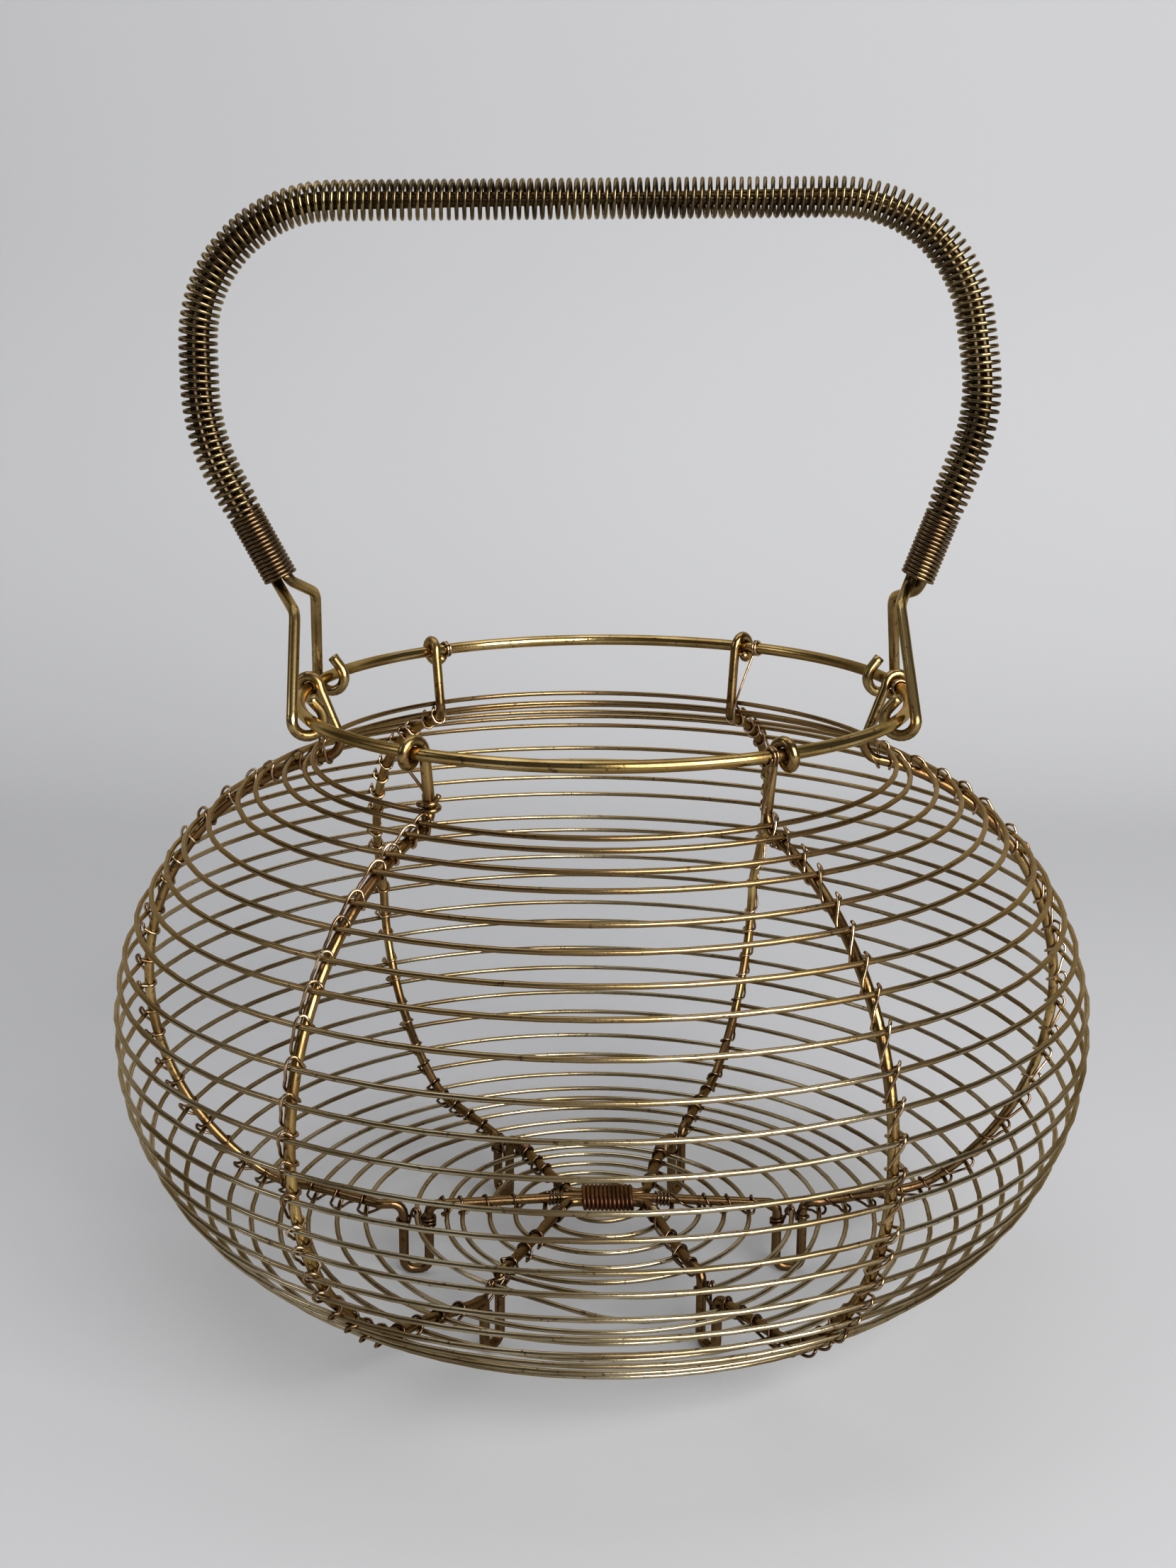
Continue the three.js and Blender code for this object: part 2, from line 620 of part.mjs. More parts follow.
const rim = new THREE.TorusGeometry(rimRadius, rimWire / 2, rimSides, rimSteps);
addPiece(basket, 'rim_ring', rim, brass(0xb08d3c, 0.35)).position.z = rimHeight;
const ribWires = [
  ['rib_wire_side', ribs.left, ribs.right, 0],
  ['rib_wire_front', ribs.frontLeft, ribs.frontRight, -bundleSpacing],
  ['rib_wire_back', ribs.backLeft, ribs.backRight, bundleSpacing],
];
for (const [name, leftRib, rightRib, bundleY] of ribWires) {
  const route = ribRoute(leftRib, rightRib, bundleY);
  addPiece(basket, name, bendWire(route, ribWire, ribSides), brass(0x8f6a2c, 0.45));
}
const wholeHoop = hoopRoute();
printLeastGap('hoop_wire', wholeHoop.points, hoopWire);
const hoopNames = [
  'hoop_wire_base', 'hoop_wire_bowl', 'hoop_wire_low_belly',
  'hoop_wire_high_belly', 'hoop_wire_shoulder', 'hoop_wire_neck',
];
cutRoute(wholeHoop, hoopCutGap).forEach((route, number) => {
  const hoop = bendWire(route, hoopWire, hoopSides, true);
  addPiece(basket, hoopNames[number], hoop, brass(0x8d7a45, 0.4));
});
addWoundWire(basket, 'base_winding', bundleWindingRoute(), bundleWindingWire, windingSides,
  brass(0x7a4a2a, 0.5));
const bindingNames = {
  right: 'binding_wire_right',
  backRight: 'binding_wire_back_right',
  backLeft: 'binding_wire_back_left',
  left: 'binding_wire_left',
  frontLeft: 'binding_wire_front_left',
  frontRight: 'binding_wire_front_right',
};
for (const [place, name] of Object.entries(bindingNames)) {
  const route = bindingRoute(ribs[place]);
  addWoundWire(basket, name, route, bindingWire, bindingSides, brass(0x8a5a34, 0.4));
}
const handleWires = [
  ['handle_wire_front', legs.frontLeft, legs.frontRight, -1],
  ['handle_wire_back', legs.backLeft, legs.backRight, 1],
];
for (const [name, leftLeg, rightLeg, depth] of handleWires) {
  const route = bailRoute(leftLeg, rightLeg, depth);
  addPiece(handle, name, bendWire(route, bailWire, ribSides), brass(0xa8863a, 0.35));
}
addWoundWire(handle, 'grip_spring', gripRoute(), gripWire, gripSides, brass(0x5a4a28, 0.4));

export default group;
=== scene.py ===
# %% [markdown]
# # A round bellied wire basket
# The basket is nothing but wire: a rim, three rib wires that also bend into the six feet, one long
# hoop wire wound round them as a spiral, six thin binding wires, and a handle of two wires that
# run through a grip spring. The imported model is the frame. Its wires are many-sided bars with few
# bends, so each one gets a round, finely bent wire in the same place, which then stands for its
# node.

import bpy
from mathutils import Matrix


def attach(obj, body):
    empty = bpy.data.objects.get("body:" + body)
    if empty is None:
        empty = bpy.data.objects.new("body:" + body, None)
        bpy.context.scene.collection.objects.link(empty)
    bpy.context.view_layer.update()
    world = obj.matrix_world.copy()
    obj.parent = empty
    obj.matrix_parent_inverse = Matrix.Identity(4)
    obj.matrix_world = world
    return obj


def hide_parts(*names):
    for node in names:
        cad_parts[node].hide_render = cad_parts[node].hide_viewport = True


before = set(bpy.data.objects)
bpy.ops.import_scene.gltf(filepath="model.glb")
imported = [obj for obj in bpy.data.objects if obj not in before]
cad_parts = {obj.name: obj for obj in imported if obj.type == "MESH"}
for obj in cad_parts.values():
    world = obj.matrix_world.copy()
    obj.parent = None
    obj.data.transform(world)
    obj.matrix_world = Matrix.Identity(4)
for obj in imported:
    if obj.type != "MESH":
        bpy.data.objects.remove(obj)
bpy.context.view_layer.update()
print("nodes in the frame:", len(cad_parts))

# %% Tools of the trade
import math

import bmesh
import bpy
from mathutils import Matrix, Vector, noise

MM = 0.001

# %% [markdown]
# ## Bending a wire
# A wire is a round bar that follows a line. One way is a curve object with a bevel; another is to
# roll a flat strip into a tube and lay it along the line. The strip is chosen here, because its
# grid has one row of corners for each point of the line, so the bends stay exactly where they are
# put, and the strip's own map runs along the wire. Each row is turned only as much as the line
# turns, so the tube doesn't twist.

# %% A round wire along a line
def carried_rows(line):
    """For each point of a line: the point and two directions across it, carried without twist."""
    rows = []
    across = None
    for index, place in enumerate(line):
        ahead = (line[min(index + 1, len(line) - 1)] - line[max(index - 1, 0)]).normalized()
        across = ahead.orthogonal() if across is None else across - ahead * across.dot(ahead)
        across.normalize()
        rows.append((place, across, ahead.cross(across)))
    return rows


def as_object(name, shape):
    """Turns a finished bmesh into an object of the scene."""
    mesh = bpy.data.meshes.new(name)
    shape.to_mesh(mesh)
    shape.free()
    piece = bpy.data.objects.new(name, mesh)
    bpy.context.scene.collection.objects.link(piece)
    return piece


def bend_wire(name, line, thickness, sides=8):
    """Rolls a strip into a tube of that thickness along a line, both in millimetres."""
    wire = bmesh.new()
    wire.loops.layers.uv.new("along_wire")
    bmesh.ops.create_grid(wire, x_segments=sides, y_segments=len(line) - 1, size=0.5, calc_uvs=True)
    rows = carried_rows(line)
    for corner in wire.verts:
        place, across, beside = rows[round((corner.co.y + 0.5) * (len(line) - 1))]
        turn = (corner.co.x + 0.5) * 2 * math.pi
        spoke = across * math.cos(turn) + beside * math.sin(turn)
        corner.co = (place + spoke * thickness / 2) * MM
    bmesh.ops.remove_doubles(wire, verts=wire.verts, dist=thickness * MM * 0.01)
    for face in wire.faces:
        face.smooth = True
    bmesh.ops.holes_fill(wire, edges=[edge for edge in wire.edges if edge.is_boundary], sides=0)
    bmesh.ops.recalc_face_normals(wire, faces=wire.faces)
    return as_object(name, wire)


def fit(piece, body, nodes, finish):
    """Gives a piece its finish and puts it in the place of its node or nodes."""
    piece.data.materials.append(finish)
    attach(piece, body)
    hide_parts(*nodes)
    print(piece.name, "faces:", len(piece.data.polygons))


# %% Lines in space
def polar(radius, angle, height):
    turn = math.radians(angle)
    return Vector((radius * math.cos(turn), radius * math.sin(turn), height))


def arc(centre, radius, start, end, step=6):
    """Points of an arc in the plane of the basket's section, as (out, up) pairs."""
    count = max(1, round(abs(end - start) / step))
    turns = [math.radians(start + (end - start) * index / count) for index in range(count + 1)]
    return [(centre[0] + radius * math.cos(t), centre[1] + radius * math.sin(t)) for t in turns]


def rounded(before, corner, after, radius, step=6):
    """The arc that a bend of that radius puts in place of a corner."""
    back = (before - corner).normalized()
    ahead = (after - corner).normalized()
    half = back.angle(ahead) / 2
    centre = corner + (back + ahead).normalized() * radius / math.sin(half)
    spoke = corner + back * radius / math.tan(half) - centre
    axis = ahead.cross(back).normalized()
    sweep = math.pi - 2 * half
    count = max(1, round(math.degrees(sweep) / step))
    return [centre + Matrix.Rotation(sweep * i / count, 3, axis) @ spoke for i in range(count + 1)]


def evenly(line, spacing):
    """The same line with points at an even spacing."""
    points = [line[0]]
    left = spacing
    for start, end in zip(line, line[1:]):
        run = (end - start).length
        done = 0.0
        while run - done >= left:
            done += left
            points.append(start.lerp(end, done / run))
            left = spacing
        left -= run - done
    if (points[-1] - line[-1]).length < spacing / 2:
        points.pop()
    return points + [line[-1]]


def flowing(points, steps):
    """A smooth line through a few points."""
    padded = [points[0]] + points + [points[-1]]
    line = []
    for a, b, c, d in zip(padded, padded[1:], padded[2:], padded[3:]):
        for step in range(steps):
            t = step / steps
            line.append(b + 0.5 * t * ((c - a) + t * ((2 * a - 5 * b + 4 * c - d)
                                                      + t * (3 * (b - c) + d - a))))
    return line + [points[-1]]


# %% [markdown]
# ## The sizes
# Wires that hold each other have to agree, so their sizes are kept together here and not written
# where each wire is bent. They are in millimetres and degrees, and most are the sizes of the
# part's source. A solid model keeps small gaps between its wires, while here the hoops and
# bindings lie on the ribs. Some sizes depart from the source to follow the real basket, which
# isn't even: its rim dips to the front left, and its base is pushed up in the middle and hangs
# lower just outside some of the feet.

# %% Sizes of the body
rim_radius, rim_height, rim_wire = 90, 187, 3.6
rib_wire, hoop_wire, binding_wire = 3.1, 1.6, 0.9
belly_radius, belly_height, body_arc = 143.85, 91, 75.85
neck_bend, base_bend, base_height = 6, 30, 23
eye_turn, eye_lead, eye_radius = 335, 2.95, 3.5
stub_radius = rim_radius - 3.65  # a rib's stub ends at the inner side of its eye
stub_lean = 2  # how far most stubs lean in on their way down to the neck
foot_radius, foot_half, foot_bend = 60.5, 4, 3
foot_kink = foot_radius + foot_half + foot_bend + 2
spoke_kink, bundle_shift, bundle_bend = 50, 2.5, 4
bundle_half_length, bundle_spacing = 12.1, 3.2

print("the belly is", 2 * belly_radius, "mm across and the rim's middle", rim_height, "mm high")

# %% Where each rib goes
# eye, belly and foot are degrees round the basket, and lead is the way its eye's end points, 1 or
# -1. shift is how far out its foot is moved, and sink how much lower the base hangs just outside
# that.
ribs = {
    "right": dict(eye=8, belly=6, foot=-1, lean=6, lead=1, shift=0, sink=-1),
    "back_right": dict(eye=59.6, belly=67, foot=64, lean=stub_lean, lead=-1, shift=0, sink=0),
    "back_left": dict(eye=130, belly=124, foot=123, lean=stub_lean, lead=-1, shift=0, sink=2),
    "left": dict(eye=174, belly=174.5, foot=185, lean=6, lead=-1, shift=-2.5, sink=-1),
    "front_left": dict(eye=237, belly=237.3, foot=239, lean=stub_lean, lead=-1, shift=0,
                       sink=4.5),
    "front_right": dict(eye=301, belly=300.5, foot=302.5, lean=stub_lean, lead=1, shift=0,
                        sink=4.2),
}
rib_order = list(ribs)
print("ribs:", ", ".join(rib_order))

# %% How the real basket is uneven
rim_drop, rim_slope_x, rim_slope_y = 0.1, 0.0096, 0.0137
lift_most, lift_slope, lift_top = 1.2, 0.022, 13
sink_start, sink_run = 60, 6
sink_end, sink_fade = 69, 12
sink_low, sink_rise = 6, 12


def rim_level(angle):
    """The rim's height there: the real rim dips a little to the front left."""
    place = polar(rim_radius, angle, 0)
    return rim_height - rim_drop + rim_slope_x * place.x + rim_slope_y * place.y


def ramp(share):
    share = min(max(share, 0), 1)
    return share * share * (3 - 2 * share)


def base_lift(radius):
    """The base is pushed up a little in its middle."""
    return max(lift_most - lift_slope * max(radius - lift_top, 0), 0)


def base_sink(most, radius, height):
    """Just outside some feet the base hangs lower. That fades up the body and down the foot."""
    if height > belly_height:
        return 0
    growing = ramp((radius - sink_start) / sink_run)
    fading = 1 - ramp((radius - sink_end) / sink_fade)
    return most * growing * fading * ramp((height - sink_low) / sink_rise)


print("the rim is", round(rim_level(235), 1), "mm high at its lowest")

# %% The section of the body
body_centre = (belly_radius - body_arc, belly_height)
base_centre = (body_centre[0] + math.sqrt((body_arc - base_bend) ** 2
                                          - (belly_height - base_height - base_bend) ** 2),
               base_height + base_bend)


def neck_centre(lean):
    across = stub_radius - lean + neck_bend - body_centre[0]
    return (stub_radius - lean + neck_bend,
            belly_height + math.sqrt((body_arc + neck_bend) ** 2 - across ** 2))


def slant(centre):
    return math.degrees(math.atan2(centre[1] - body_centre[1], centre[0] - body_centre[0]))


neck_height = neck_centre(stub_lean)[1]
body_start, body_end = slant(base_centre), slant(neck_centre(stub_lean))
print("neck height", round(neck_height, 1))

# %% [markdown]
# ## The rim
# The rim is one closed ring of the thickest wire. A ready-made torus would do as well. A circle
# that is spun once round the basket's axis is chosen, because it can be given the rim's own dip
# while it is still one mesh. The spin's first and last circles are merged.

# %% The rim ring
def spin_ring(name, radius, height, thickness, steps=144, sides=12):
    ring = bmesh.new()
    place = Matrix.Translation((radius * MM, 0, height * MM)) @ Matrix.Rotation(math.pi / 2, 4, "X")
    bmesh.ops.create_circle(ring, segments=sides, radius=thickness * MM / 2, matrix=place)
    bmesh.ops.spin(ring, geom=ring.verts[:] + ring.edges[:], cent=(0, 0, 0), axis=(0, 0, 1),
                   angle=2 * math.pi, steps=steps, use_merge=True)
    bmesh.ops.recalc_face_normals(ring, faces=ring.faces)
    for corner in ring.verts:
        angle = math.degrees(math.atan2(corner.co.y, corner.co.x))
        corner.co.z += (rim_level(angle) - rim_height) * MM
    for face in ring.faces:
        face.smooth = True
    return as_object(name, ring)


rim = spin_ring("rim", rim_radius, rim_height, rim_wire)
print("rim corners:", len(rim.data.vertices))

# %% [markdown]
# ## The ribs
# Three wires make the six ribs. Each starts in an eye round the rim, comes down the body, dips
# into a foot, runs to the middle of the base and leaves on the other side in the same way. Such a
# wire could be a curve drawn by eye, but its bends are arcs, and all six ribs share them. So the
# section is drawn from arcs and turned to each rib's place. A rib drifts a few degrees round the
# basket on its way, and has its own foot.

# %% One half of a rib wire
eye_steps = 40


def rib_angle(rib, radius, height):
    if height > belly_height:
        up = min((height - belly_height) / (neck_height - belly_height), 1)
        return rib["belly"] + (rib["eye"] - rib["belly"]) * up
    out = (radius - foot_kink) / (base_centre[0] - foot_kink)
    return rib["foot"] + (rib["belly"] - rib["foot"]) * min(max(out, 0), 1)


def stub_at(rib, height):
    """A place on the straight stub between a rib's neck and its eye."""
    foot = polar(stub_radius - rib["lean"], rib["eye"], neck_centre(rib["lean"])[1])
    return foot + (polar(stub_radius, rib["eye"], rim_height) - foot).normalized() * height


def rib_half(rib):
    sole = rib_wire / 2
    middle = foot_radius + rib["shift"]
    inner, outer = middle - foot_half, middle + foot_half
    neck = neck_centre(rib["lean"])
    inside = base_height + base_lift(spoke_kink)
    shape = [(spoke_kink, inside)]
    shape += arc((inner - foot_bend, inside - foot_bend), foot_bend, 90, 0, 10)
    shape += arc((inner + foot_bend, sole + foot_bend), foot_bend, 180, 270, 10)
    shape += arc((outer - foot_bend, sole + foot_bend), foot_bend, 270, 360, 10)
    shape += arc((outer + foot_bend, base_height - foot_bend), foot_bend, 180, 90, 10)
    shape += [(foot_kink, base_height)]
    shape += arc(base_centre, base_bend, -90, body_start)
    shape += arc(body_centre, body_arc, body_start, slant(neck), 3)[1:]
    shape += arc(neck, neck_bend, slant(neck) + 180, 180, 8)[1:]
    line = [polar(out, rib_angle(rib, out, up), up - base_sink(rib["sink"], out, up))
            for out, up in shape]
    for step in range(eye_steps + 1):
        turned = eye_turn * step / eye_steps
        turn = math.radians(180 - turned)
        point = polar(rim_radius + eye_radius * math.cos(turn), rib["eye"],
                      rim_level(rib["eye"]) + eye_radius * math.sin(turn))
        line.append(point + polar(rib["lead"] * eye_lead * turned / eye_turn, rib["eye"] + 90, 0))
    return line


# %% Each rib from the middle of the base to its eye
def rib_pair(left, right, row):
    """The lines of two ribs that are one wire, from the base's middle outwards."""
    halves = rib_half(ribs[left]), rib_half(ribs[right])
    middle = base_height + base_lift(0)
    turns = [Vector((bundle_shift + side * bundle_half_length, row, middle)) for side in (-1, 1)]
    corners = (rounded(turns[1], turns[0], halves[0][0], bundle_bend, 10),
               rounded(turns[0], turns[1], halves[1][0], bundle_bend, 10))
    return {left: corners[0] + halves[0], right: corners[1] + halves[1]}


rib_lines = {}
for left, right, row in (("left", "right", 0),
                         ("front_left", "front_right", -bundle_spacing),
                         ("back_left", "back_right", bundle_spacing)):
    rib_lines.update(rib_pair(left, right, row))

bend_spacing = 1.2  # between the points of the thick wires' lines
rib_pieces = {}
for node, left, right in (("rib_wire_side", "left", "right"),
                          ("rib_wire_front", "front_left", "front_right"),
                          ("rib_wire_back", "back_left", "back_right")):
    line = evenly(rib_lines[left][::-1] + rib_lines[right], bend_spacing)
    rib_pieces[node] = bend_wire(node.replace("rib_wire", "rib"), line, rib_wire, 12)
    print(node, "points along its line:", len(line))

# %% [markdown]
# ## The hoops
# All hoops are one wire. It starts near the middle of the base, turns round and round under the
# spokes, passes through the six feet and climbs the outside of the ribs to the neck, where its end
# is wound round one rib. A stack of closed rings would be easier, but the real wire climbs as it
# turns. So its line is one long spiral on the section, set off from the ribs by half a rib and
# half a hoop. A hand-wound spiral is never quite even, so it strays a little.

# %% A place on the body's section
solid_gap = 0.3  # what the solids keep between two wires
hoop_offset = rib_wire / 2 + hoop_wire / 2
solid_offset = hoop_offset + solid_gap
section = [
    dict(centre=base_centre, radius=base_bend, out=1, start=-90, end=body_start),
    dict(centre=body_centre, radius=body_arc, out=1, start=body_start, end=body_end),
    dict(centre=neck_centre(stub_lean), radius=neck_bend, out=-1, start=body_end + 180, end=180),
]
for bend in section:
    bend["length"] = math.radians(abs(bend["end"] - bend["start"])) * (bend["radius"]
                                                                       + bend["out"] * solid_offset)
section_length = sum(bend["length"] for bend in section)
print("from the flat base up to the neck:", round(section_length, 1), "mm")


def on_section(length, offset):
    """How far out and how high a place is that lies a length up the section from the flat base."""
    if length <= 0:
        radius = base_centre[0] + length
        return radius, base_height + base_lift(radius) - offset
    for bend in section:
        if length <= bend["length"]:
            turn = math.radians(bend["start"]
                                + (bend["end"] - bend["start"]) * length / bend["length"])
            reach = bend["radius"] + bend["out"] * offset
            return (bend["centre"][0] + reach * math.cos(turn),
                    bend["centre"][1] + reach * math.sin(turn))
        length -= bend["length"]
    lean = stub_lean * length / (rim_height - neck_height)
    return stub_radius - stub_lean + lean + offset, neck_height + length


# %% The spiral's even line
sector_steps = 12
turn_steps = 6 * sector_steps
front_left = rib_order.index("front_left") * sector_steps
foot_length = foot_radius - base_centre[0]
foot_slack = 0.8
foot_gap = foot_half + rib_wire / 2 + solid_gap + hoop_wire / 2 + foot_slack
base_pitch, foot_turn, body_turns, start_radius = 8.3, 5, 27, 11.2
neck_turns, neck_rise = 1, 4.2
feet_start = foot_turn * turn_steps + front_left
feet_end = feet_start + turn_steps
hoop_first = feet_start - round((foot_radius - foot_gap - start_radius) / base_pitch * turn_steps)
hoop_last = feet_start + (body_turns + neck_turns) * turn_steps


def between(values, place):
    """A value part of the way between two neighbours in a row of them."""
    place = min(max(place, 0), len(values) - 1.001)
    first = int(place)
    return values[first] + (values[first + 1] - values[first]) * ramp(place - first)


def all_round(size):
    """A size of each rib in turn, and of the first one again."""
    return [ribs[name][size] for name in rib_order + rib_order[:1]]


def hoop_length(index):
    """How far up the section the hoop wire lies at that step, before it strays."""
    foot = foot_length + between(all_round("shift"), index % turn_steps / sector_steps)
    if index <= feet_start:
        return foot - foot_gap + base_pitch * (index - feet_start) / turn_steps
    if index <= feet_end:
        return foot - foot_gap * (1 - ramp((index - feet_start) / sector_steps))
    if index <= feet_end + sector_steps:
        return foot + foot_gap * ramp((index - feet_end) / sector_steps)
    share = (index - feet_end - sector_steps) / ((body_turns - 1) * turn_steps - sector_steps)
    if share > 1:
        return section_length + neck_rise * ((index - feet_start) / turn_steps - body_turns)
    return foot_length + foot_gap + (section_length - foot_length - foot_gap) * share


print("the spiral runs from step", hoop_first, "to", hoop_last, "at", turn_steps, "in a turn")

# %% [markdown]
# Even rows look like a machine's. The real ones were bound by hand. Noise alone could shake them,
# but then the wide and narrow gaps would lie in the wrong places. So each half turn gets its own
# stray, read from the photograph where the rows cross the middle of the front and of the back,
# from the top of the spiral to its start, and noise only adds a little between. On the body a
# stray is a distance down from the even place, and on the base a distance inwards.

# %% The spiral as it was wound
wander_rate, wander_most = 0.045, 0.6
bulge_rate, bulge_most = 0.11, 0.35
row_start = 0.1
row_strays = [5.0, 1.7, 4.0, -0.6, 1.3, -2.6, 1.4, -0.8, -1.0, -3.9, 1.0, -4.2, 0.2, 2.7, -0.2, 1.3,
              -0.4, 1.4, 0.3, 0.2, 2.0, 1.9, 2.5, -1.4, 2.6, 1.0, 2.4, -0.6, 1.2, 1.4, 1.5, -0.5,
              0.6, 1.0, 0.9, -0.4, 0.4, 0.9, 0.8, -0.3, 0.9, 0.4, 0.0] + [0] * 13
row_strays += [-1.0, 4.0, -5.3, 2.5, -4.3, 1.3, -3.7, 0.5, -1.8, -0.1, 0.5, 0]


def hoop_angle(index, radius, height):
    turn, inside = divmod(index, turn_steps)
    sector, part = int(inside // sector_steps), inside % sector_steps
    start = rib_angle(ribs[rib_order[sector]], radius, height)
    end = rib_angle(ribs[rib_order[(sector + 1) % 6]], radius, height) + (360 if sector == 5 else 0)
    return start + (end - start) * part / sector_steps + 360 * turn


def hoop_place(index):
    row_stray = between(row_strays, 2 * (hoop_last - index) / turn_steps + row_start)
    wander = noise.noise(Vector((index * wander_rate, 3.1, 0))) * wander_most
    bulge = noise.noise(Vector((index * bulge_rate, 9.4, 0))) * bulge_most
    radius, height = on_section(hoop_length(index) + wander - row_stray, hoop_offset + bulge)
    sink = between(all_round("sink"), index % turn_steps / sector_steps)
    height -= base_sink(sink, radius, height)
    return polar(radius, hoop_angle(index, radius, height), height)


hoop_line = [hoop_place(index) for index in range(hoop_first, hoop_last + 1)]
print("hoop turns:", round((hoop_last - hoop_first) / turn_steps, 1))

# %% The end of the hoop wire, wound round the front left rib
# The rib's binding wire runs down the stub's left side, and the end is wound over it.
wrap_turns, wrap_pitch, wrap_steps, lead_bulge = 1.2, 1.9, 20, 0.8
wrap_start = hoop_line[-1].z - stub_at(ribs["front_left"], 0).z
for step in range(1, round(wrap_turns * wrap_steps) + 1):
    turn = 360 * step / wrap_steps
    core = stub_at(ribs["front_left"], wrap_start + wrap_pitch * step / wrap_steps)
    over_lead = lead_bulge * max(math.cos(math.radians(turn + 90)), 0) ** 2
    hoop_line.append(core + polar(hoop_offset + over_lead, ribs["front_left"]["eye"] + turn, 0))
leaving = Vector((0.45, -0.1, 0.9))
hoop_line += [hoop_line[-1] + leaving * reach for reach in (0.7, 1.4, 2.1, 2.7)]
hoops = bend_wire("hoops", hoop_line, hoop_wire, 8)
hoop_metres = sum((end - start).length for start, end in zip(hoop_line, hoop_line[1:])) * MM
print("length of the hoop wire:", round(hoop_metres, 2), "m")

# %% [markdown]
# ## The winding at the middle of the base
# The three rib wires lie side by side at the middle, and a short close winding holds them.
# Separate loops could be copied along them, but one line keeps it the single wire that it is. Each
# turn is a flat oval: two half circles round the outer wires, joined above and below.

# %% The middle's winding
def middle_winding(turns=12, pitch=1.34, thickness=1.3, half_steps=9):
    line = []
    for step in range(turns * 2 * half_steps):
        inside = step % (2 * half_steps)
        side = 1 if inside < half_steps else -1
        turn = side * math.pi * ((inside % half_steps) / (half_steps - 1) - 0.5)
        out = Vector((0, side * math.cos(turn), math.sin(turn)))
        along = pitch * (step / (2 * half_steps) - turns / 2)
        core = Vector((bundle_shift + along, side * bundle_spacing, base_height + base_lift(0)))
        line.append(core + out * (rib_wire / 2 + thickness / 2))
    return bend_wire("middle_winding", line, thickness, 8)


winding = middle_winding()
print("winding corners:", len(winding.data.vertices))

# %% [markdown]
# ## The binding wires
# A thin wire holds each rib to the hoops. It starts with a few turns round the rim beside the eye
# and leads down to the first hoop. At each hoop it comes from the rib's left, goes behind the rib,
# comes up on the right between rib and hoop, bends over the hoop in a loose narrow loop and slants
# down across the rib to its left again. One loop could be made once and copied to each crossing,
# but the rows lie unevenly and each loop has to end where the next begins. So the line is drawn
# through a few points of each turn, placed from the hoop and the rib where they cross, and small
# strays keep any two loops from being alike. On the base the loops are tighter.

# %% Where a rib and the hoops cross
# The spokes don't point at the middle, so on the base the crossing is looked for along the hoop.
winding_reach = 17  # nearer to the middle than this, the base winding takes the binding's place
search_steps = 30


def crossings(name):
    """From the neck down: the hoop's step, the rib's place, the directions up along it, out and to
    the right, and how far the hoop's middle lies from the rib's."""
    order = rib_order.index(name) * sector_steps
    core_line = evenly(rib_lines[name], 0.8)
    spoke = [core for core in core_line if core.xy.length < spoke_kink + 2]
    found = []
    for index in range(hoop_last, hoop_first - 1, -1):
        if index % turn_steps != order or feet_start < index < feet_end:
            continue
        hoop = hoop_line[index - hoop_first]
        if index <= feet_start:
            steps = range(-search_steps, search_steps + 1)
            tries = [hoop_place(index + step / 3) for step in steps]
            hoop = min(tries, key=lambda at: min((at - core).length_squared for core in spoke))
            if hoop.xy.length < winding_reach:
                continue
        near = min(range(1, len(core_line) - 1), key=lambda i: (core_line[i] - hoop).length_squared)
        up = (core_line[near + 1] - core_line[near - 1]).normalized()
        out = hoop - core_line[near]
        out -= up * out.dot(up)
        found.append((index, core_line[near], up, out.normalized(), up.cross(out).normalized(),
                      out.length))
    return found


# %% One turn round a crossing
touch = (rib_wire + binding_wire) / 2 + 0.03


def stray(seed, share):
    return share * noise.noise(Vector((seed * 1.37, 0.5, 7.7)))


def binding_turn(crossing, gap, seed, loose=1.0):
    """The points of one turn, from the rib's left behind it and over the hoop to the left again."""
    core, up, out, right, reach = crossing[1:]
    over = reach + (hoop_wire + binding_wire) / 2
    peak = min(1 + 1.4 * loose + stray(seed, 1.2), gap * 0.6)
    tip = min(2.3 + stray(seed + 40, 1.0), gap * 0.35)
    places = [
        (1.5, -1.25, -touch * 0.75),
        (0.9, 0.3, -touch),
        (0.7, touch * 0.8, -touch * 0.6),
        (peak * 0.4, touch + 0.05, 0.35),
        (peak - 0.7, touch + 0.1 + (0.4 + stray(seed + 10, 0.8)) * loose, reach - 0.5),
        (peak + 0.25, 1.2 + stray(seed + 20, 0.9), reach + 0.7 * loose),
        (peak - 0.8 * loose, 0.3, over + 0.5 * loose),
        (-0.05 * gap, -0.25, over + 0.15 * loose),
        (-0.3 * gap, -0.95, touch + (0.35 + stray(seed + 30, 0.5)) * loose),
        (-0.52 * gap, -1.75, touch - 0.7),
        (-gap + tip, -touch - 0.02, 0.1),
    ]
    return [core + up * rise + right * aside + out * away for rise, aside, away in places]


def circling(place, first, second, radius, start, turns, step=60):
    """Points of a few turns, where place gives the middle for a share of the way."""
    count = round(turns * 360 / step)
    points = []
    for number in range(count + 1):
        turn = math.radians(start) + 2 * math.pi * turns * number / count
        points.append(place(number / count) + first * radius * math.cos(turn)
                      + second * radius * math.sin(turn))
    return points


# %% The foot's binding
# Between the hoops outside and inside a foot the wire takes a turn round the outer leg, one round
# the hoop that lies in the foot, and a few round the inner leg. Heights are in millimetres above
# the floor.
foot_twists = {"left": 3, "right": 2, "front_left": 1.5, "front_right": 2}
outer_leg_height, inner_leg_height, twist_pitch = 18.8, 16.2, 1.15


